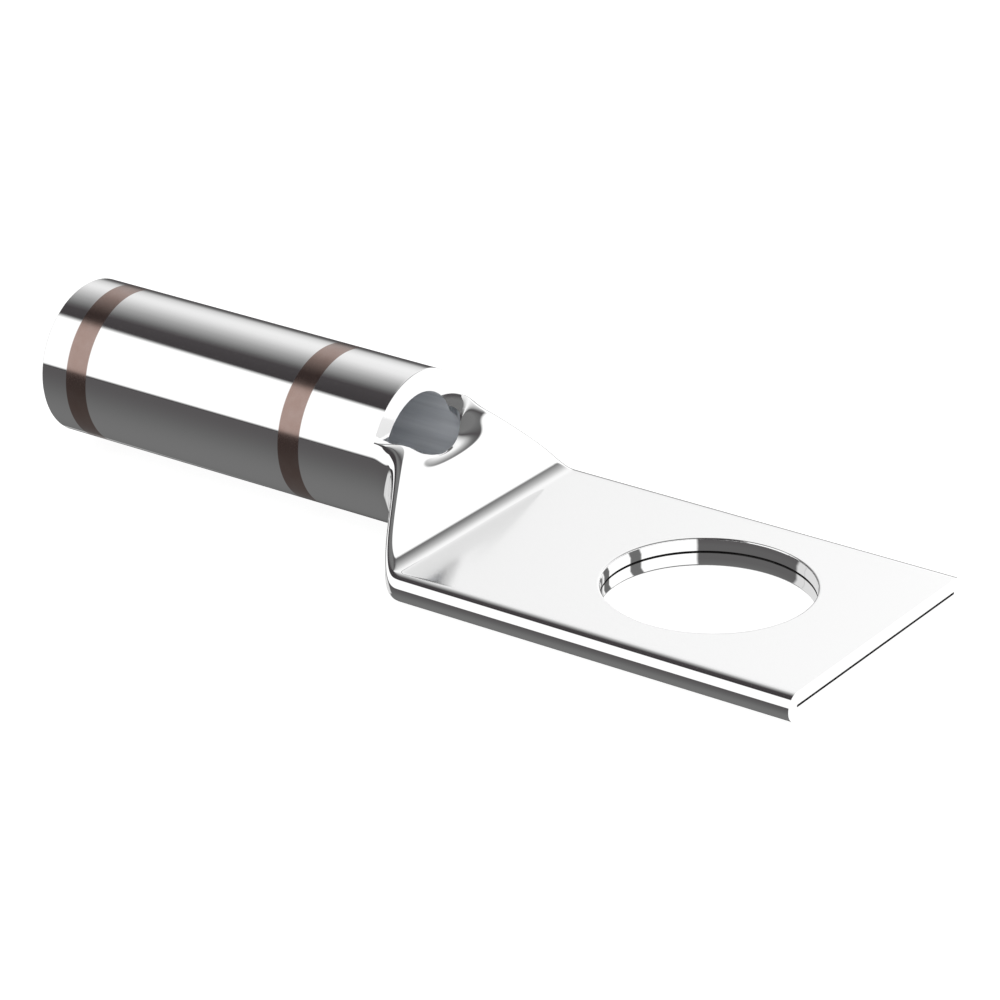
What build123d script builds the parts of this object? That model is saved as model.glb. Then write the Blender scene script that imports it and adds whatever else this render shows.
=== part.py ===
from build123d import *
import math
import os

# A cable lug made from one piece of round copper tube. One end stays round, and is
# crimped on to a stranded conductor. The other end is pressed flat into a palm with a
# stud hole. A sight window, cut through where the two meet, shows that the strands are
# fully home.
#
# The origin is the centre of the stud hole, on the face that bolts down. +X runs along
# the palm to its square tip, and +Z is up. Sizes are in millimetres.

# Round barrel
barrel_diameter = 10.7
bore_diameter = 7.6
barrel_length = 27.81      # from the wire entry to the sawn face at the window
barrel_rise = 0.435        # underside of the barrel above the face that bolts down
entry_chamfer = 0.2

# Flat palm, two layers of tube wall pressed together
palm_width = 21.2
palm_thickness = 2.0
palm_reach = 12.4          # from the stud hole's centre to the square tip
palm_edge_flat = 0.04      # height that the full-round long edges leave straight
seam_gap = 0.14            # between the two layers
seam_inset = 1.0           # from each long edge to the end of the seam
stud_hole_diameter = 13.9
hole_edge_break = 0.12

# Shoulder pressed between barrel and palm
hole_to_foot = 17.73       # from the stud hole to where the ramp's plane meets the top of the palm
ramp_run = 3.24            # length of the ramp's plane, along the lug
ledge_run = 1.68           # from the top of the ramp's plane back to the sawn face
ledge_rise = 2.315         # top of the two ledges beside the window, above the barrel's axis
lip_rise = 0.295           # top of the ramp in the middle, between the ledges
lip_roll = 1.15            # length over which the lip bends over on to the ramp
foot_bend = 2.2            # length over which the ramp bends out on to the palm
ramp_wall = 1.0
edge_radius_saw = 1.9      # along the shoulder's upper edges, beside the saw cut
edge_radius_ramp = 1.4     # and beside the ramp
flare_lead = 0.58          # from the sawn face to where the sides leave the width of the barrel
flare_run = 5.35           # and from there to the full width of the palm

# Cavity inside the shoulder
cavity_flare_lead = 0.95
cavity_flare_run = 5.3
cavity_bend = 3.0          # length over which the hollow bends into the seam
cavity_roll = 1.0
cavity_edge_radius = 0.9

# Sight window
window_length = 2.21       # from the sawn face to the middle of the lip
window_width = 7.1
window_overcut = 0.07      # depth of the cut past the lip's lower edge

# Spacing of the outlines that the shoulder is drawn through
outline_step = 0.3

barrel_radius = barrel_diameter / 2
bore_radius = bore_diameter / 2
barrel_axis = barrel_rise + barrel_radius
palm_half_width = palm_width / 2
palm_edge_radius = (palm_thickness - palm_edge_flat) / 2
seam_half_width = palm_half_width - seam_inset
seam_floor = (palm_thickness - seam_gap) / 2
seam_roof = (palm_thickness + seam_gap) / 2
layer_thickness = seam_floor

ramp_foot = -hole_to_foot
sawn_face = ramp_foot - ramp_run - ledge_run
entry_face = sawn_face - barrel_length
shoulder_height = barrel_axis + ledge_rise
lip_height = barrel_axis + lip_rise
ledge_roll = 2 * ledge_run
ramp_slope = (shoulder_height - palm_thickness) / ramp_run
flare_start = sawn_face + flare_lead
flare_end = flare_start + flare_run

# The hollow opens between the ledges, half-way from their tops to the top of the bore
cavity_height = (shoulder_height + barrel_axis + bore_radius) / 2
cavity_foot = ramp_foot - ramp_wall * math.hypot(1, 1 / ramp_slope) + layer_thickness / ramp_slope
cavity_flare_start = sawn_face + cavity_flare_lead
cavity_flare_end = cavity_flare_start + cavity_flare_run
palm_start = max(ramp_foot + foot_bend / 2, cavity_foot + cavity_bend / 2, flare_end, cavity_flare_end)


def share_of(position, start, end):
    return min(max((position - start) / (end - start), 0.0), 1.0)


def smooth_rise(position, start, end):
    """Climb from 0 at start to 1 at end, level and uncurved at both."""
    share = share_of(position, start, end)
    return share ** 3 * (10 - 15 * share + 6 * share ** 2)


def smooth_bend(position, middle, length):
    """Height gained by a line that bends smoothly from level to a slope of one."""
    share = share_of(position, middle - length / 2, middle + length / 2)
    bent = length * share ** 4 * (2.5 - 3 * share + share ** 2)
    return bent + max(position - middle - length / 2, 0.0)


def ramp_height(x, top, top_roll, foot, floor, foot_length):
    """Height at x of a level top that rolls over on to the ramp and bends out on to a floor."""
    crest = foot - (top - floor) / ramp_slope
    rolled = smooth_bend(x, crest, top_roll)
    levelled = smooth_bend(x, foot, foot_length)
    return top - ramp_slope * (rolled - levelled)


def ledge_top(x):
    return ramp_height(x, shoulder_height, ledge_roll, ramp_foot, palm_thickness, foot_bend)


def lip_top(x):
    return ramp_height(x, lip_height, lip_roll, ramp_foot, palm_thickness, foot_bend)


def cavity_top(x):
    return ramp_height(x, cavity_height, cavity_roll, cavity_foot, seam_roof, cavity_bend)


def fitted(wanted, room):
    """A radius close to the one wanted where there is room, and to the room where there isn't."""
    return (wanted ** -4 + room ** -4) ** -0.25


def quarter_arc(x, y, z, radius, side, up):
    """Rounded corner of an outline, from its upright side round to its level side."""
    sagitta = radius * (1 - math.sqrt(0.5))
    upright_end = (x, y, z - up * radius)
    middle = (x, y - side * sagitta, z - up * sagitta)
    level_end = (x, y - side * radius, z)
    return ThreePointArc(upright_end, middle, level_end)


def dipped_roof(x, reach, top, middle_top):
    """Top of an outline: straight where level, or else a curve that sinks to middle_top."""
    if top - middle_top < 0.001:
        return Line((x, reach, top), (x, -reach, top))
    pull = 1.6 * middle_top - 0.6 * top
    return Bezier(
        (x, reach, top),
        (x, 0.6 * reach, top),
        (x, 0.2 * reach, pull),
        (x, -0.2 * reach, pull),
        (x, -0.6 * reach, top),
        (x, -reach, top),
    )


def pressed_outline(x, half_width, floor, top, middle_top, low_radius, high_radius):
    """Flattened tube outline across x, its top dipped to middle_top half-way over."""
    low_reach = half_width - low_radius
    high_reach = half_width - high_radius
    return Wire([
        Line((x, -low_reach, floor), (x, low_reach, floor)),
        quarter_arc(x, half_width, floor, low_radius, 1, -1),
        Line((x, half_width, floor + low_radius), (x, half_width, top - high_radius)),
        quarter_arc(x, half_width, top, high_radius, 1, 1),
        dipped_roof(x, high_reach, top, middle_top),
        quarter_arc(x, -half_width, top, high_radius, -1, 1),
        Line((x, -half_width, top - high_radius), (x, -half_width, floor + low_radius)),
        quarter_arc(x, -half_width, floor, low_radius, -1, -1),
    ])


def round_point(x, radius, degrees):
    angle = math.radians(degrees)
    return (x, radius * math.cos(angle), barrel_axis + radius * math.sin(angle))


def round_arc(x, radius, start, end):
    middle = round_point(x, radius, (start + end) / 2)
    return ThreePointArc(round_point(x, radius, start), middle, round_point(x, radius, end))


def half_round_outline(x, radius, top, middle_top, edge_radius):
    """Round tube outline across x in the same eight pieces, cut off by a roof."""
    joint = 1.0
    side_rise = top - edge_radius - barrel_axis
    side = math.degrees(math.asin(side_rise / radius))
    reach = min(radius - edge_radius, math.sqrt(radius ** 2 - (top - barrel_axis) ** 2))
    upright = math.sqrt(radius ** 2 - side_rise ** 2)
    left_side = round_point(x, radius, 180 - side)
    right_side = round_point(x, radius, side)
    return Wire([
        round_arc(x, radius, -90 - joint, -90 + joint),
        round_arc(x, radius, -90 + joint, 0),
        round_arc(x, radius, 0, side),
        TangentArc(right_side, (x, reach, top), tangent=(0, -side_rise, upright)),
        dipped_roof(x, reach, top, middle_top),
        TangentArc(left_side, (x, -reach, top), tangent=(0, side_rise, upright)),
        round_arc(x, radius, 180, 180 - side),
        round_arc(x, radius, 180, 270 - joint),
    ])


def outline_places(start, end):
    """Even places from start to end, about outline_step apart, the start left out."""
    count = max(round((end - start) / outline_step), 4)
    return [start + (end - start) * number / count for number in range(1, count + 1)]


def shoulder_outline(x):
    spread = smooth_rise(x, flare_start, flare_end)
    settle = smooth_rise(x, sawn_face, flare_end)
    ease = smooth_rise(x, sawn_face, flare_start)
    return pressed_outline(
        x,
        barrel_radius + (palm_half_width - barrel_radius) * spread,
        barrel_rise * (1 - settle),
        ledge_top(x),
        lip_top(x),
        barrel_radius + (palm_edge_radius - barrel_radius) * settle,
        edge_radius_saw * (1 - ease) + edge_radius_ramp * (ease - settle) + palm_edge_radius * settle,
    )


def shoulder():
    """Outside of the pressed stretch, from the sawn face to the start of the palm."""
    x = sawn_face
    outlines = [half_round_outline(x, barrel_radius, ledge_top(x), lip_top(x), edge_radius_saw)]
    outlines += [shoulder_outline(x) for x in outline_places(sawn_face, palm_start)]
    return Solid.make_loft(outlines)


def cavity_outline(x):
    spread = smooth_rise(x, cavity_flare_start, cavity_flare_end)
    settle = smooth_rise(x, sawn_face, cavity_flare_end)
    floor = (barrel_axis - bore_radius) * (1 - settle) + seam_floor * settle
    top = cavity_top(x)
    high_radius = fitted(cavity_edge_radius, 0.45 * (top - floor))
    low_wanted = bore_radius * (1 - settle) + cavity_edge_radius * settle
    low_radius = fitted(low_wanted, 0.95 * (top - floor) - high_radius)
    half_width = bore_radius + (seam_half_width - bore_radius) * spread
    return pressed_outline(x, half_width, floor, top, top, low_radius, high_radius)


def cavity():
    """Hollow of the pressed stretch, from the round bore to the seam in the palm."""
    x = sawn_face
    outlines = [half_round_outline(x, bore_radius, cavity_top(x), cavity_top(x), cavity_edge_radius)]
    outlines += [cavity_outline(x) for x in outline_places(sawn_face, palm_start)]
    return Solid.make_loft(outlines)


def round_bar(radius, start, end):
    axis = Plane(origin=(start, 0, barrel_axis), x_dir=(0, 1, 0), z_dir=(1, 0, 0))
    return extrude(axis * Circle(radius), amount=end - start)


def palm():
    """Flat end, with the seam between its two layers open at the tip."""
    palm_length = palm_reach - palm_start
    flat = extrude(Face(shoulder_outline(palm_start)), amount=palm_length, dir=(1, 0, 0))
    return flat - extrude(Face(cavity_outline(palm_start)), amount=palm_length, dir=(1, 0, 0))


def sight_window():
    """Rounded end of the window, straight down through the top of the ramp."""
    floor = cavity_top(sawn_face + window_length) - window_overcut
    outline = Pos(sawn_face, 0, floor) * Ellipse(window_length, window_width / 2)
    return extrude(outline, amount=barrel_diameter)


def barrel():
    """Round tube, its two rims chamfered at the wire entry."""
    tube = round_bar(barrel_radius, entry_face, sawn_face) - round_bar(bore_radius, entry_face, sawn_face)
    entry_rims = tube.edges().filter_by(GeomType.CIRCLE).group_by(Axis.X)[0]
    return chamfer(entry_rims, entry_chamfer)


def stud_hole():
    """Space of the stud hole, flared at both faces of the palm to break its edges."""
    wall = stud_hole_diameter / 2
    rim = wall + hole_edge_break
    profile = Polyline(
        (0, 0, -palm_thickness),
        (rim, 0, -palm_thickness),
        (rim, 0, 0),
        (wall, 0, hole_edge_break),
        (wall, 0, palm_thickness - hole_edge_break),
        (rim, 0, palm_thickness),
        (rim, 0, 2 * palm_thickness),
        (0, 0, 2 * palm_thickness),
        close=True,
    )
    return revolve(make_face(profile), Axis.Z)


def lug():
    transition = shoulder() - cavity() - sight_window()
    return barrel() + transition + (palm() - stud_hole())


body = lug()
os.makedirs("parts", exist_ok=True)
export_step(body, "parts/lug_body.step")
print("solids", len(body.solids()), "volume", round(body.volume, 1), "box", body.bounding_box())
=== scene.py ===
import math

import bmesh
import bpy
import numpy as np
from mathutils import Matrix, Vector


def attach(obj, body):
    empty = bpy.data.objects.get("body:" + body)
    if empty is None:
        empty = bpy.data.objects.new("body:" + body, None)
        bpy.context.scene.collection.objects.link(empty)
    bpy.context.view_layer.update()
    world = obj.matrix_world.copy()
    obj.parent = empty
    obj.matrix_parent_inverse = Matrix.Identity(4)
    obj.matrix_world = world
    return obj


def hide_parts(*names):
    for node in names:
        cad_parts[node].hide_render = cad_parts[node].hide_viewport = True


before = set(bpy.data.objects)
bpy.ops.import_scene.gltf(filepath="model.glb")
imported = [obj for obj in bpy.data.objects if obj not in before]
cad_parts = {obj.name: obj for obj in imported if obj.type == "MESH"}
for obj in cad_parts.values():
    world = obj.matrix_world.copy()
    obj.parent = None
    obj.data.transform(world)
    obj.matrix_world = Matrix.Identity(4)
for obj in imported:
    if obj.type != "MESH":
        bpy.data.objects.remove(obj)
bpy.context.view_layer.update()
mm = 0.001
print("frame loaded")


# Camera, at the photograph's viewing angle
cameraSetup = {
    "lens": 163.56,
    "sensor": 36,
    "azimuth": 34.760,      # degrees round from looking along +Y
    "elevation": 24.615,
    "target": (-16.907, 1.103, 3.057),      # millimetres, as is the distance
    "distance": 297.41,
    "clip": (0.01, 10),     # metres
}


def makeCamera(setup):
    a = math.radians(setup["azimuth"])
    e = math.radians(setup["elevation"])
    back = Vector((math.sin(a) * math.cos(e), -math.cos(a) * math.cos(e), math.sin(e)))
    data = bpy.data.cameras.new("camera")
    data.lens = setup["lens"]
    data.sensor_width = setup["sensor"]
    data.clip_start, data.clip_end = setup["clip"]
    camera = bpy.data.objects.new("camera", data)
    camera.rotation_mode = "QUATERNION"
    camera.location = (Vector(setup["target"]) + back * setup["distance"]) * mm
    camera.rotation_quaternion = (-back).to_track_quat("-Z", "Y")
    bpy.context.scene.collection.objects.link(camera)
    bpy.context.scene.camera = camera


makeCamera(cameraSetup)
print("camera placed")


# One tube, left round at the wire end and pressed flat at the stud end. Millimetres,
# from the stud hole's centre on the underside, as in the frame.
tube = {
    "entry": -50.46,
    "saw": -22.65,
    "palmStart": -16.4,
    "tip": 12.4,
    "radius": 5.35,
    "bore": 3.8,
    "axis": 5.785,
    "entryChamfer": 0.2,
    "sawBreak": 0.07,       # rounding of the sawn edge
}
press = {
    "palmHalfWidth": 10.6,
    "palmThickness": 2.0,
    "palmEdgeRadius": 0.98,
    "rampFoot": -17.73,
    "rampSlope": 6.1 / 3.24,
    "footBend": 2.2,
    "ledgeHeight": 7.87,
    "ledgeRoll": 3.36,
    "lipHeight": 6.08,
    "lipRoll": 1.15,
    "sawEdgeRadius": 0.15,
    "rampEdgeRadius": 1.4,
    "flareStart": -22.07,
    "flareEnd": -16.72,
    "edgeFull": -20.6,      # where the ramp's edge has its full rounding
    "fadeEnd": -18.4,       # where the last trace of the round section is gone
}
hollow = {
    "flareStart": -21.7,
    "flareEnd": -16.4,
    "bend": 3.0,
    "roll": 1.0,
    "edgeRadius": 0.9,
    "highRoom": 0.45,       # share of the hollow's height that its upper edges may take
    "room": 0.95,           # and that all its edges may take
    "height": 8.8425,
    "wall": 1.0,
    "seamHalfWidth": 9.6,
    "seamFloor": 0.915,
    "seamRoof": 1.085,
}
window = {"length": 2.21, "halfWidth": 3.55}
studHole = {"radius": 6.95, "rim": 0.12}
gridSteps = {
    "low": 76,          # round half an outline, up to where the saw cut leaves the barrel
    "ear": 20,          # from there to the side of the window
    "roof": 50,         # and from there to the middle of the roof
    "shoulder": 100,    # along the pressed stretch, outside
    "cavity": 46,       # and inside
    "barrel": 28,
    "palm": 56,
    "ring": 14,         # from the stud hole out to the palm's edges
    "rimArc": 4,
    "entryFace": 4,
    "tipFace": 3,
    "sawnFace": 5,
    "sawBreakArc": 5,
    "windowWall": 6,
    "rows": 320,        # stations at which outlines are worked out before they are sampled
    "segment": 120,     # points worked out on each of an outline's five segments
}
spacing = {
    "turnWeight": 1.6,      # millimetres of outline that one radian of turning counts for
    "roundLeave": 0.76,     # share of the way to the window where the bore's ear lines begin
    "roofEven": 0.12,       # how even the roof's lines are, which crowd beside the window
    "breakRise": 0.3,       # share of the roof over which the sawn edge's rounding grows
    "edgeRow": 0.06,        # a narrow row of faces keeps that rounding's shading to itself
}
joining = {"merge": 2e-7, "shortest": 1e-8, "sharpAngle": 32}      # metres, and degrees


def smoothRise(x, start, end):
    # climbs from 0 to 1 between start and end, level and uncurved at both
    s = np.clip((x - start) / (end - start), 0, 1)
    return s ** 3 * (10 - 15 * s + 6 * s ** 2)


def smoothBend(x, middle, length):
    # height gained by a line that bends from level to a slope of one over length
    s = np.clip((x - middle) / length + 0.5, 0, 1)
    return length * s ** 4 * (2.5 - 3 * s + s ** 2) + np.maximum(x - middle - length / 2, 0)


def rampHeight(x, top, topRoll, foot, floor, footBend):
    # a level top that rolls over on to the ramp and bends out again on to a floor
    slope = press["rampSlope"]
    crest = foot - (top - floor) / slope
    return top - slope * (smoothBend(x, crest, topRoll) - smoothBend(x, foot, footBend))


def ledgeTop(x):
    foot = (press["rampFoot"], press["palmThickness"], press["footBend"])
    return rampHeight(x, press["ledgeHeight"], press["ledgeRoll"], *foot)


def lipTop(x):
    foot = (press["rampFoot"], press["palmThickness"], press["footBend"])
    return rampHeight(x, press["lipHeight"], press["lipRoll"], *foot)


def hollowTop(x):
    # one wall's thickness under the ramp
    slope = press["rampSlope"]
    inset = hollow["wall"] * math.hypot(1, 1 / slope)
    foot = press["rampFoot"] - inset + hollow["seamFloor"] / slope
    return rampHeight(x, hollow["height"], hollow["roll"], foot, hollow["seamRoof"], hollow["bend"])


def fitted(wanted, room):
    # the smaller of the two, blended where they are close: fourth powers of their inverses add up
    return (wanted ** -4.0 + room ** -4.0) ** -0.25


def outlinePoints(halfWidth, floor, top, middleTop, lowRadius, highRadius, lean=0.0):
    # Right half of a flattened tube's outline, from the middle of its underside round to the
    # middle of its roof: a level line, a quarter circle, a side that arcs inwards until it leans
    # by lean radians, an arc from there up to level, and a roof that sinks to middleTop as the
    # square of one less the square of the way across.
    t = np.linspace(0, 1, gridSteps["segment"] + 1)[None, :-1]
    last = np.linspace(0, 1, gridSteps["segment"] + 1)[None, :]
    lean = np.maximum(lean, 1e-4)       # a straight side is an arc that hardly leans
    rise = top - floor - lowRadius - highRadius * (1 - np.sin(lean))
    lowReach = halfWidth - lowRadius
    highReach = halfWidth - rise * np.tan(lean / 2) - highRadius * np.cos(lean)
    turn = t * math.pi / 2
    side = t * lean
    corner = lean + t * (math.pi / 2 - lean)
    y = [
        lowReach * t,
        lowReach + lowRadius * np.sin(turn),
        halfWidth - rise * (1 - np.cos(side)) / np.sin(lean),
        highReach + highRadius * np.cos(corner),
        highReach * (1 - last),
    ]
    z = [
        floor + t * 0,
        floor + lowRadius - lowRadius * np.cos(turn),
        floor + lowRadius + rise * np.sin(side) / np.sin(lean),
        top - highRadius + highRadius * np.sin(corner),
        top - (top - middleTop) * (1 - (1 - last) ** 2) ** 2,
    ]
    return np.concatenate(y, 1), np.concatenate(z, 1)


def roundPoints(radius, top, edgeRadius):
    # The same five segments on a round tube that a level roof cuts off: the first three stay on
    # its circle, and the fourth is a small arc that touches the circle and the roof.
    count = gridSteps["segment"]
    axis = tube["axis"]
    rise = top - edgeRadius - axis
    reach = math.sqrt((radius - edgeRadius) ** 2 - rise ** 2)
    bottom, side = -math.pi / 2, math.atan2(rise, reach)
    joint = bottom + math.radians(1)        # a round tube has hardly any level underside
    angles = np.concatenate([
        np.linspace(bottom, joint, count + 1)[:-1],
        np.linspace(joint, 0, count + 1)[:-1],
        np.linspace(0, side, count + 1)[:-1],
    ])
    corner = np.linspace(side, math.pi / 2, count + 1)[:-1]
    across = np.linspace(1, 0, count + 1)
    y = [radius * np.cos(angles), reach + edgeRadius * np.cos(corner), reach * across]
    z = [
        axis + radius * np.sin(angles),
        top - edgeRadius + edgeRadius * np.sin(corner),
        top + across * 0,
    ]
    return np.concatenate(y)[None], np.concatenate(z)[None]


def outerOutlines(x):
    settle = smoothRise(x, tube["saw"], press["flareEnd"])
    spread = smoothRise(x, press["flareStart"], press["flareEnd"])
    ease = smoothRise(x, tube["saw"], press["edgeFull"])
    palmEdge = press["palmEdgeRadius"]
    highRadius = (
        press["sawEdgeRadius"] * (1 - ease)
        + press["rampEdgeRadius"] * np.maximum(ease - settle, 0)
        + palmEdge * settle
    )
    # at the saw cut the sides still follow the barrel's circle
    rise = ledgeTop(tube["saw"]) - press["sawEdgeRadius"] - tube["axis"]
    lean = math.asin(rise / (tube["radius"] - press["sawEdgeRadius"]))
    return outlinePoints(
        tube["radius"] + (press["palmHalfWidth"] - tube["radius"]) * spread,
        (tube["axis"] - tube["radius"]) * (1 - settle),
        ledgeTop(x),
        lipTop(x),
        tube["radius"] + (palmEdge - tube["radius"]) * settle,
        highRadius,
        lean * (1 - smoothRise(x, tube["saw"], press["fadeEnd"])),
    )


def innerOutlines(x):
    settle = smoothRise(x, tube["saw"], hollow["flareEnd"])
    spread = smoothRise(x, hollow["flareStart"], hollow["flareEnd"])
    halfWidth = tube["bore"] + (hollow["seamHalfWidth"] - tube["bore"]) * spread
    floor = (tube["axis"] - tube["bore"]) * (1 - settle) + hollow["seamFloor"] * settle
    top = hollowTop(x)
    high = fitted(hollow["edgeRadius"], hollow["highRoom"] * (top - floor))
    low = tube["bore"] * (1 - settle) + hollow["edgeRadius"] * settle
    low = fitted(low, hollow["room"] * (top - floor) - high)
    return outlinePoints(halfWidth, floor, top, top, low, high)


def sampledRings(x, outlines, leaveAt, roundStart=None):
    # Outlines at every station, sampled at the same shares of their weighted length, so that
    # one numbered line runs along the tube. What a round start differs by fades out with x.
    # leaveAt is the point of the first outline where the ear's lines begin.
    y, z = outlines(x)
    if roundStart:
        keep = 1 - smoothRise(x, tube["saw"], press["fadeEnd"])
        y = y + keep * (roundStart[0] - y[:1])
        z = z + keep * (roundStart[1] - z[:1])
    stepY, stepZ = np.diff(y, axis=1), np.diff(z, axis=1)
    length = np.hypot(stepY, stepZ) + 1e-9
    heading = np.unwrap(np.arctan2(stepZ, stepY), axis=1)
    turning = np.abs(np.diff(heading, axis=1, prepend=heading[:, :1]))
    weight = np.cumsum(length + spacing["turnWeight"] * turning, axis=1)
    weight = np.concatenate([np.zeros((len(x), 1)), weight], 1)
    weight /= weight[:, -1:]
    first = weight[0]
    beside = np.interp(-window["halfWidth"], -y[0, leaveAt:], first[leaveAt:])
    leave = beside * spacing["roundLeave"] if roundStart else first[leaveAt]
    low, ear, roof = gridSteps["low"], gridSteps["ear"], gridSteps["roof"]
    turn = np.linspace(0, 1, roof + 1)
    crowded = 1 - np.cos(turn * math.pi / 2)
    ease = spacing["roofEven"] * turn + (1 - spacing["roofEven"]) * crowded
    shares = np.concatenate([
        np.linspace(0, leave, low + 1)[:-1],
        np.linspace(leave, beside, ear + 1)[:-1],
        beside + (1 - beside) * ease,
    ])
    # the lines are evenly spaced by the time they reach the palm
    even = np.linspace(0, 1, len(shares))
    level = smoothRise(x, tube["saw"], tube["palmStart"])
    shares = shares * (1 - level) + even * level
    ringY = np.array([np.interp(s, w, row) for s, w, row in zip(shares, weight, y)])
    ringZ = np.array([np.interp(s, w, row) for s, w, row in zip(shares, weight, z)])
    ringY[0, low + ear] = window["halfWidth"]
    ringY[:, 0] = ringY[:, -1] = 0
    return ringY, ringZ


def cutByWindow(x, ringY, ringZ, steps):
    # Every line starts on the sawn plane, or on the window's ellipse where it crosses that,
    # and runs to the palm in the same number of steps.
    beside = gridSteps["low"] + gridSteps["ear"]
    saw, palmStart = tube["saw"], tube["palmStart"]
    outside = ((x - saw) / window["length"]) ** 2 + (ringY / window["halfWidth"]) ** 2 - 1
    row = np.maximum(np.argmax(outside[:, beside + 1:] > 0, axis=0), 1)
    line = np.arange(len(row)) + beside + 1
    before, after = outside[row - 1, line], outside[row, line]
    start = np.zeros(ringY.shape[1])
    start[beside + 1:] = row - 1 + before / (before - after)
    place = start + (len(x) - 1 - start) * np.linspace(0, 1, steps + 1)[:, None]
    below = np.minimum(place.astype(int), len(x) - 2)
    part = place - below
    lines = np.arange(ringY.shape[1])[None, :]
    y = ringY[below, lines] * (1 - part) + ringY[below + 1, lines] * part
    z = ringZ[below, lines] * (1 - part) + ringZ[below + 1, lines] * part
    along = saw + (palmStart - saw) * place / (len(x) - 1)
    return np.stack([along, y, z], -1)


def between(first, last, shares):
    # straight lines from each point of one row to the same point of another
    shares = np.asarray(shares, float)[:, None, None]
    return first[None] * (1 - shares) + last[None] * shares


def atStation(x, ring):
    return np.stack([np.full(len(ring), float(x)), ring[:, 0], ring[:, 1]], -1)


def circleArc(radius, start, end, steps):
    angle = np.linspace(start, end, steps + 1)
    return np.stack([radius * np.cos(angle), tube["axis"] + radius * np.sin(angle)], -1)


def scaledRing(ring, factor):
    # a ring drawn in or out from the barrel's axis
    middle = (0, tube["axis"])
    return (ring - middle) * factor + middle


def barrelPatches(outerStart, innerStart):
    # Straight tube walls, the chamfered entry, the rounded sawn edge, and the sawn face in two
    # parts: over the window, and over the ear.
    low, ear, roof = gridSteps["low"], gridSteps["ear"], gridSteps["roof"]
    radius, bore, chamfer = tube["radius"], tube["bore"], tube["entryChamfer"]
    entry, saw, axis = tube["entry"], tube["saw"], tube["axis"]
    beside = low + ear
    leave = math.atan2(outerStart[low, 2] - axis, outerStart[low, 1])
    overWindow = math.acos(window["halfWidth"] / radius)
    overBore = math.acos(window["halfWidth"] / bore)
    outerRing = np.concatenate([
        outerStart[:low, 1:],
        circleArc(radius, leave, overWindow, ear)[:-1],
        circleArc(radius, overWindow, math.pi / 2, roof),
    ])
    outerRing[low] = outerStart[low, 1:]
    innerRing = np.concatenate([
        innerStart[:beside, 1:],
        circleArc(bore, overBore, math.pi / 2, roof),
    ])
    innerRing[beside] = innerStart[beside, 1:]
    outerRing[-1, 0] = innerRing[-1, 0] = 0
    # the sawn edge is rounded, from nothing beside the window to its full size over it
    rounding = smoothRise(np.arange(len(outerRing)), beside, beside + spacing["breakRise"] * roof)
    size = tube["sawBreak"] * rounding[:, None]
    centre = scaledRing(outerRing, (radius - size) / radius)
    outward = (outerRing - centre) / np.maximum(size, 1e-9)
    sawBreak = []
    for turn in np.linspace(0, math.pi / 2, gridSteps["sawBreakArc"] + 1):
        ring = centre + outward * size * math.cos(turn)
        sawBreak.append(np.concatenate([saw - size + size * math.sin(turn), ring], 1))
    outerEnd, innerEnd = sawBreak[-1], atStation(saw, innerRing)
    outerChamfer = atStation(entry + chamfer, outerRing)
    innerChamfer = atStation(entry + chamfer, innerRing)
    entryOuter = atStation(entry, scaledRing(outerRing, (radius - chamfer) / radius))
    entryInner = atStation(entry, scaledRing(innerRing, (bore + chamfer) / bore))
    along = np.linspace(0, 1, gridSteps["barrel"] + 1)
    nearEdge = 1 - spacing["edgeRow"] / (saw - entry)
    patches = [
        between(outerChamfer, sawBreak[0], np.append(along[:-1], [nearEdge, 1])),
        between(innerChamfer, innerEnd, along),
        between(outerChamfer, entryOuter, [0, 1]),
        between(innerChamfer, entryInner, [0, 1]),
        between(entryOuter, entryInner, np.linspace(0, 1, gridSteps["entryFace"] + 1)),
        np.array(sawBreak),
    ]
    # over the window, the sawn face's first rows are as high as the ear, and over the ear it
    # starts at that height
    wallFoot, wallTop, wallHead = innerRing[beside, 1], outerStart[beside, 2], outerEnd[beside, 2]
    earShare = (wallTop - wallFoot) / (wallHead - wallFoot)
    lowShares = np.linspace(0, earShare, gridSteps["windowWall"] + 1)
    highShares = np.linspace(earShare, 1, gridSteps["sawnFace"] + 1)
    overWindowShares = np.concatenate([lowShares, highShares[1:]])
    overEarShares = (highShares - earShare) / (1 - earShare)
    patches.append(between(innerEnd[beside:], outerEnd[beside:], overWindowShares))
    patches.append(between(outerStart[low:beside + 1], outerEnd[low:beside + 1], overEarShares))
    return patches


def windowWall(outerStart, innerStart):
    # Upright wall of the window: from the roof's cut edge down to the cavity's, on the ellipse.
    beside = gridSteps["low"] + gridSteps["ear"]
    upper, lower = outerStart[beside:], innerStart[beside:]

    def ellipseAngle(points):
        forward = (points[:, 0] - tube["saw"]) / window["length"]
        return np.arctan2(forward, points[:, 1] / window["halfWidth"])

    share = np.linspace(0, 1, gridSteps["windowWall"] + 1)[:, None]
    angle = ellipseAngle(lower) * (1 - share) + ellipseAngle(upper) * share
    wall = np.stack([
        tube["saw"] + window["length"] * np.sin(angle),
        window["halfWidth"] * np.cos(angle),
        lower[:, 2] * (1 - share) + upper[:, 2] * share,
    ], -1)
    wall[0], wall[-1] = lower, upper
    return wall


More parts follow.
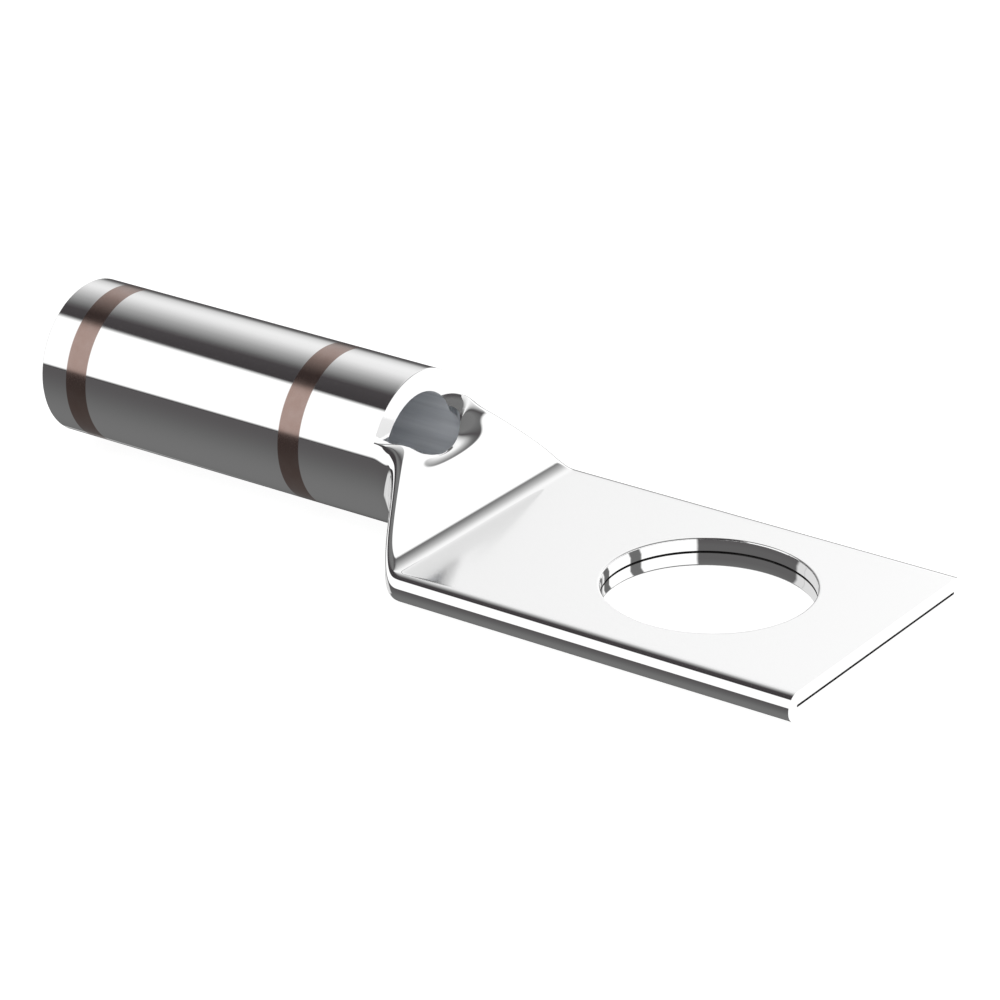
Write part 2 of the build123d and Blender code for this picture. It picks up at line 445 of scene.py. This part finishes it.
def palmPatches(outerEnd, innerEnd):
    # Two layers with a thin seam between them. Each level face is a grid between the stud
    # hole's circle and the palm's straight edges, and the long edges are rounded strips.
    total = len(outerEnd) - 1
    palmStart, tip = tube["palmStart"], tube["tip"]
    hole, rim, thick = studHole["radius"], studHole["rim"], press["palmThickness"]
    floor, roof, nearly = hollow["seamFloor"], hollow["seamRoof"], 1e-7
    level = [
        outerEnd[:, 2] > thick - nearly,
        innerEnd[:, 2] > roof - nearly,
        outerEnd[:, 2] < nearly,
        innerEnd[:, 2] < floor + nearly,
    ]
    flatLines = min(int(flat.sum()) for flat in level) - 2
    flatFrom = total - flatLines
    xs = np.linspace(palmStart, tip, gridSteps["palm"] + 1)

    def along(ring, lines):
        x = np.broadcast_to(xs[:, None], (len(xs), len(lines)))
        y = np.broadcast_to(ring[lines, 1], x.shape)
        z = np.broadcast_to(ring[lines, 2], x.shape)
        return np.stack([x, y, z], -1)

    def around(ring, lines):
        # from the middle of the palm's start, out along it, down the long edge, in along the tip
        start, side = ring[lines], along(ring, lines[-1:])[:, 0]
        end = start[::-1] + (tip - palmStart, 0, 0)
        return np.concatenate([start, side[1:-1], end])

    topLines = np.arange(total, flatFrom - 1, -1)
    bottomLines = np.arange(0, flatLines + 1)
    border = around(outerEnd, topLines)
    angle = np.arctan2(border[:, 1], border[:, 0])
    angle[0], angle[-1] = math.pi, 0

    def holeRing(radius, z):
        height = np.full(len(angle), z)
        ring = np.stack([radius * np.cos(angle), radius * np.sin(angle), height], -1)
        ring[0, 1] = ring[-1, 1] = 0
        return ring

    s = np.linspace(0, 1, gridSteps["ring"] + 1)
    shares = 0.5 - 0.5 * np.cos(math.pi * s)
    topRim = np.array([
        holeRing(hole + rim * (1 - math.sin(turn)), thick - rim * (1 - math.cos(turn)))
        for turn in np.linspace(0, math.pi / 2, gridSteps["rimArc"] + 1)
    ])
    bottomRim = topRim * (1, 1, -1) + (0, 0, thick)
    patches = [
        between(topRim[0], border, shares),
        between(bottomRim[0], around(outerEnd, bottomLines), shares),
        between(holeRing(hole, roof), around(innerEnd, topLines), shares),
        between(holeRing(hole, floor), around(innerEnd, bottomLines), shares),
        topRim,
        bottomRim,
        between(topRim[-1], holeRing(hole, roof), [0, 0.5, 1]),
        between(bottomRim[-1], holeRing(hole, floor), [0, 0.5, 1]),
    ]
    edgeLines = np.arange(flatLines, flatFrom + 1)
    patches += [along(outerEnd, edgeLines), along(innerEnd, edgeLines)]
    shift = (tip - palmStart, 0, 0)
    tipShares = np.linspace(0, 1, gridSteps["tipFace"] + 1)
    patches.append(between(outerEnd + shift, innerEnd + shift, tipShares))
    return patches


def meshFromPatches(name, patches, finishes):
    # Each patch is a grid of quads, and the half that it covers is mirrored across y = 0. Shared
    # edges are then merged and the faces turned outwards. finishes maps a patch's number to its
    # material's, where that isn't the first.
    vertices, faces, finish, offset = [], [], [], 0
    for number, grid in enumerate(patches):
        rows, columns = grid.shape[:2]
        index = np.arange(rows * columns).reshape(rows, columns) + offset
        corners = [index[:-1, :-1], index[1:, :-1], index[1:, 1:], index[:-1, 1:]]
        quads = np.stack(corners, -1).reshape(-1, 4)
        vertices.append(grid.reshape(-1, 3))
        faces.append(quads)
        finish.append(np.full(len(quads), finishes.get(number, 0)))
        offset += rows * columns
    half = np.concatenate(vertices)
    quads = np.concatenate(faces)
    both = np.concatenate([half, half * (1, -1, 1)]) * mm
    quads = np.concatenate([quads, quads[:, ::-1] + len(half)])
    mesh = bpy.data.meshes.new(name)
    mesh.from_pydata(both.tolist(), [], quads.tolist())
    mesh.polygons.foreach_set("material_index", np.tile(np.concatenate(finish), 2))
    work = bmesh.new()
    work.from_mesh(mesh)
    bmesh.ops.remove_doubles(work, verts=work.verts, dist=joining["merge"])
    bmesh.ops.dissolve_degenerate(work, edges=work.edges, dist=joining["shortest"])
    bmesh.ops.recalc_face_normals(work, faces=work.faces)
    work.to_mesh(mesh)
    work.free()
    return mesh


def makeLug():
    saw, segment = tube["saw"], gridSteps["segment"]
    x = np.linspace(saw, tube["palmStart"], gridSteps["rows"])[:, None]
    boreStart = roundPoints(tube["bore"], hollowTop(saw), hollow["edgeRadius"])
    outerY, outerZ = sampledRings(x, outerOutlines, 3 * segment)
    innerY, innerZ = sampledRings(x, innerOutlines, 2 * segment, boreStart)
    outer = cutByWindow(x, outerY, outerZ, gridSteps["shoulder"])
    inner = cutByWindow(x, innerY, innerZ, gridSteps["cavity"])
    patches = [outer, inner, windowWall(outer[0], inner[0])]
    patches += barrelPatches(outer[0], inner[0])
    palmFirst = len(patches)
    patches += palmPatches(outer[-1], inner[-1])
    finishes = {1: 1, 4: 1}         # the cavity and the bore
    # the faces inside the palm's seam take the painted seam shade
    finishes.update({palmFirst + number: 2 for number in (2, 3, 9)})     # inside the palm's seam
    mesh = meshFromPatches("lugBody", patches, finishes)
    mesh.polygons.foreach_set("use_smooth", np.ones(len(mesh.polygons), bool))
    mesh.set_sharp_from_angle(angle=math.radians(joining["sharpAngle"]))
    lug = bpy.data.objects.new("lugBody", mesh)
    bpy.context.scene.collection.objects.link(lug)
    return lug


lug = makeLug()
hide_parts("lug_body")
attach(lug, "root")
print("lug made,", len(lug.data.polygons), "faces")


class Value:
    # A socket that takes part in sums: an expression on Values adds its Math nodes.
    def __init__(self, tree, socket=None):
        self.tree = tree
        self.socket = socket

    def feed(self, node, inputs):
        # links Values to a node's sockets, and sets plain values on them
        for key, value in inputs.items():
            if isinstance(value, Value):
                self.tree.links.new(value.socket, node.inputs[key])
            else:
                node.inputs[key].default_value = value

    def node(self, kind, settings=None, inputs=None):
        made = self.tree.nodes.new(kind)
        for key, setting in (settings or {}).items():
            if key == "stops":
                ramp = made.color_ramp
                while len(ramp.elements) < len(setting):
                    ramp.elements.new(0.5)
                for element, (place, colour) in zip(ramp.elements, setting):
                    element.position, element.color = place, colour
            else:
                setattr(made, key, setting)
        self.feed(made, inputs or {})
        return made

    def sum(self, operation, *values):
        made = self.node("ShaderNodeMath", {"operation": operation}, dict(enumerate(values)))
        return Value(self.tree, made.outputs[0])

    def __add__(self, other):
        return self.sum("ADD", self, other)

    def __radd__(self, other):
        return self.sum("ADD", other, self)

    def __sub__(self, other):
        return self.sum("SUBTRACT", self, other)

    def __rsub__(self, other):
        return self.sum("SUBTRACT", other, self)

    def __mul__(self, other):
        return self.sum("MULTIPLY", self, other)

    def __rmul__(self, other):
        return self.sum("MULTIPLY", other, self)

    def __truediv__(self, other):
        return self.sum("DIVIDE", self, other)

    def __pow__(self, other):
        return self.sum("POWER", self, other)

    def step(self, low, high):
        # climbs smoothly from 0 at low to 1 at high
        settings = {"interpolation_type": "SMOOTHSTEP"}
        made = self.node("ShaderNodeMapRange", settings, {0: self, 1: low, 2: high})
        return Value(self.tree, made.outputs[0])

    def within(self, low, high, soft):
        # 1 between low and high and 0 beyond, each edge fading over soft to both sides
        return self.step(low - soft, low + soft) * (1 - self.step(high - soft, high + soft))

    def split(self):
        made = self.node("ShaderNodeSeparateXYZ", {}, {0: self})
        return [Value(self.tree, socket) for socket in made.outputs]


def mixed(factor, first, second):
    inputs = {0: factor, 6: first, 7: second}
    made = factor.node("ShaderNodeMix", {"data_type": "RGBA"}, inputs)
    return Value(factor.tree, made.outputs[2])


def noise(point, scale, detail):
    inputs = {"Vector": point, "Scale": scale, "Detail": detail}
    made = point.node("ShaderNodeTexNoise", {}, inputs)
    return Value(point.tree, made.outputs[0])


def startMaterial(name):
    # a new material, its shader, and the place on the piece
    material = bpy.data.materials.new(name)
    material.use_nodes = True
    tree = material.node_tree
    coordinates = Value(tree).node("ShaderNodeTexCoord")
    return material, tree.nodes["Principled BSDF"], Value(tree, coordinates.outputs["Object"])


# Each noise is given by its scale and detail.
tin = {
    "colour": (0.94, 0.94, 0.94, 1),
    "roughness": 0.03,
    "palmRoughness": 0.13,      # the stamped face is a little duller
    "smears": (260, 4),
    "smearRoughness": 0.02,
    "palmFace": 0.0375,         # millimetres above or below the palm's top that count as its face
    "palmFaceEdge": 0.0325,
    "palmFaceStart": (-17, -16),
    "inkColour": (0.315, 0.215, 0.185, 1),
    "inkRoughness": 0.16,
    "inkGrain": (1400, 3),
    "inkCover": 0.9,            # where the grain thins it most
    "inkDepth": (0.3, 0.1),     # it fades out this far under the barrel's surface
    "bands": ((-48.20, -46.49), (-30.22, -28.52)),
    "bandEdge": 0.04,
}


def tinnedCopper(look):
    # Mirror-bright tin with two bands of ink round the barrel and a duller palm. A band covers
    # what lies between two stations and close to the tube's outside.
    material, shader, place = startMaterial("tinnedCopper")
    x, y, z = place.split()
    bandEdge = look["bandEdge"] * mm
    first, second = [x.within(start * mm, end * mm, bandEdge) for start, end in look["bands"]]
    height = z - tube["axis"] * mm
    fromAxis = (y * y + height * height) ** 0.5
    outside = fromAxis.step(*[(tube["radius"] - depth) * mm for depth in look["inkDepth"]])
    ink = (first + second) * outside
    cover = look["inkCover"] + (1 - look["inkCover"]) * noise(place, *look["inkGrain"])
    colour = mixed(ink * cover, look["colour"], look["inkColour"])
    thick, reach = press["palmThickness"], look["palmFace"]
    face = z.within((thick - reach) * mm, (thick + reach) * mm, look["palmFaceEdge"] * mm)
    face = face * x.step(*[station * mm for station in look["palmFaceStart"]])
    rough = look["roughness"] + look["smearRoughness"] * noise(place, *look["smears"])
    rough = rough + ink * (look["inkRoughness"] - look["roughness"])
    rough = rough + face * (look["palmRoughness"] - look["roughness"])
    place.feed(shader, {"Base Color": colour, "Roughness": rough, "Metallic": 1.0})
    return material


bore = {
    "pale": (0.80, 0.82, 0.85, 1),
    "dark": (0.48, 0.50, 0.53, 1),
    "metallic": 0.3,
    "roughness": 0.38,
    "streakRoughness": 0.12,
    "drawn": (0.06, 1, 1),      # the noises are stretched along the tube
    "streaks": (900, 4),
    "broad": (260, 2),
    "streakShare": 0.55,        # of the shade, the rest is the broad noise's
    "shadeRange": (0.36, 0.64),
    "bump": 0.25,
    "bumpHeight": 0.00003,      # metres
}


def boreTin(look):
    # duller metal with fine streaks drawn along the tube
    material, shader, place = startMaterial("boreTin")
    stretch = {0: place, 1: look["drawn"]}
    stretched = place.node("ShaderNodeVectorMath", {"operation": "MULTIPLY"}, stretch)
    drawn = Value(place.tree, stretched.outputs[0])
    streaks, broad = noise(drawn, *look["streaks"]), noise(drawn, *look["broad"])
    shade = look["streakShare"] * streaks + (1 - look["streakShare"]) * broad
    colour = mixed(shade.step(*look["shadeRange"]), look["dark"], look["pale"])
    rough = look["roughness"] + look["streakRoughness"] * streaks
    bumpInputs = {"Strength": look["bump"], "Distance": look["bumpHeight"], "Height": streaks}
    bump = Value(place.tree, place.node("ShaderNodeBump", {}, bumpInputs).outputs["Normal"])
    place.feed(shader, {"Base Color": colour, "Roughness": rough, "Normal": bump})
    place.feed(shader, {"Metallic": look["metallic"]})
    return material


# Painted shade inside the palm's seam: near-black colours on the gap's inner faces stand in for the
# shade that falls there.
seam = {
    "dark": (0.008, 0.007, 0.008, 1),
    "pale": (0.03, 0.028, 0.028, 1),
    "grain": (900, 3),
    "shadeRange": (0.35, 0.65),
    "roughness": 0.7,
}


def paintedSeamShade(look):
    # painted shade: the seam's inner faces are coloured nearly black, with a little random tone, so
    # that the gap reads as a dark line
    material, shader, place = startMaterial("paintedSeamShade")
    shade = noise(place, *look["grain"]).step(*look["shadeRange"])
    colour = mixed(shade, look["dark"], look["pale"])
    place.feed(shader, {"Base Color": colour, "Roughness": look["roughness"]})
    return material


lug.data.materials.append(tinnedCopper(tin))
lug.data.materials.append(boreTin(bore))
lug.data.materials.append(paintedSeamShade(seam))
print("materials made")


# Studio: a pale floor under even light, and what the bright metal mirrors of the room. Directions
# are degrees of azimuth, from +X towards +Y, and of elevation.
studio = {
    "floorSize": 3.0,           # metres
    "floorLevel": -0.02,        # millimetres
    "floorColour": (0.14, 0.14, 0.14, 1),
    "floorRoughness": 0.9,
    "floorGlow": 0.92,          # lit from below as well, so that shadows stay faint
    "evenLight": 2.2,
    "shadeTint": (1.0, 0.91, 0.955, 1),
    "tintFade": (0.06, 0.15),   # the darkest reflections have the tint, brighter ones have none
    # a broad lamp behind: (azimuth, brightness), and how it fades towards the floor
    "lamp": (
        (-180, 0.065), (-150, 0.048), (-70, 0.055), (0, 0.17), (34, 0.19), (50, 0.085),
        (55, 0.15), (66, 0.41), (85, 0.70), (104, 0.95), (117, 1.03), (125, 0.95), (133, 0.86),
        (143, 0.57), (152, 0.38), (163, 0.23), (172, 0.12), (180, 0.065),
    ),
    "lampFade": (-13, 28),
    "lampLeast": 0.25,
    # the floor, mirrored: grey at the horizon, a little lighter straight down
    "floorTop": (-5.5, -3.5),
    "floorBottom": -60,
    "floorNear": 0.10,
    "floorDeep": 0.175,
    # softboxes and gaps: azimuth from, to, elevation from, to, softness of the edge, brightness
    "panels": (
        (-166, -98, -3, 49.5, 1.5, 1.12),
        (-45, 118, -38, 25.5, 2.0, 1.12),
        (19.5, 35, -38, -12, 1.5, 0.16),
        (74.5, 89.5, -38, -12, 1.5, 0.15),
        (136, 181, -38, -12, 3, 0.76),
        (-181, -165, -38, -12, 3, 0.74),
        (96, 134, -50, 2, 8, 0.10),
    ),
}


def makeFloor():
    mesh = bpy.data.meshes.new("floor")
    half, level = studio["floorSize"] / 2, studio["floorLevel"] * mm
    signs = [(-1, -1), (1, -1), (1, 1), (-1, 1)]
    mesh.from_pydata([(x * half, y * half, level) for x, y in signs], [], [(0, 1, 2, 3)])
    floor = bpy.data.objects.new("floor", mesh)
    bpy.context.scene.collection.objects.link(floor)
    material = bpy.data.materials.new("floorPaint")
    material.use_nodes = True
    Value(material.node_tree).feed(material.node_tree.nodes["Principled BSDF"], {
        "Base Color": studio["floorColour"],
        "Roughness": studio["floorRoughness"],
        "Specular IOR Level": 0.0,
        "Emission Color": (1, 1, 1, 1),
        "Emission Strength": studio["floorGlow"],
    })
    mesh.materials.append(material)
    floor.visible_glossy = False        # the studio has its own mirrored floor


def makeWorld():
    # Glossy rays see the lamp above the horizon and the floor under it, with the panels laid over
    # both one after the other. All other rays get the even light.
    world = bpy.data.worlds.new("studio")
    bpy.context.scene.world = world
    world.use_nodes = True
    root = Value(world.node_tree)
    direction = Value(root.tree, root.node("ShaderNodeTexCoord").outputs["Generated"])
    glossy = Value(root.tree, root.node("ShaderNodeLightPath").outputs["Is Glossy Ray"])
    x, y, z = direction.split()
    azimuth = root.sum("ARCTAN2", y, x) * math.degrees(1)
    elevation = root.sum("ARCSINE", z) * math.degrees(1)
    stops = [((place + 180) / 360, (level, level, level, 1)) for place, level in studio["lamp"]]
    ramp = root.node("ShaderNodeValToRGB", {"stops": stops}, {0: azimuth / 360 + 0.5})
    fade = elevation.step(*studio["lampFade"]) * (1 - studio["lampLeast"]) + studio["lampLeast"]
    lamp = Value(root.tree, ramp.outputs[0]) * fade
    under = 1 - elevation.step(*studio["floorTop"])
    deep = 1 - elevation.step(studio["floorBottom"], studio["floorTop"][0])
    ground = studio["floorNear"] + deep * (studio["floorDeep"] - studio["floorNear"])
    seen = lamp * (1 - under) + ground * under
    for left, right, bottom, top, soft, level in studio["panels"]:
        panel = azimuth.within(left, right, soft) * elevation.within(bottom, top, soft)
        seen = seen * (1 - panel) + level * panel
    light = seen * glossy + (1 - glossy) * studio["evenLight"]
    tint = mixed(light.step(*studio["tintFade"]), studio["shadeTint"], (1, 1, 1, 1))
    root.feed(root.tree.nodes["Background"], {"Strength": light, "Color": tint})


makeFloor()
makeWorld()
bpy.context.scene.view_settings.view_transform = "Standard"
print("studio made")
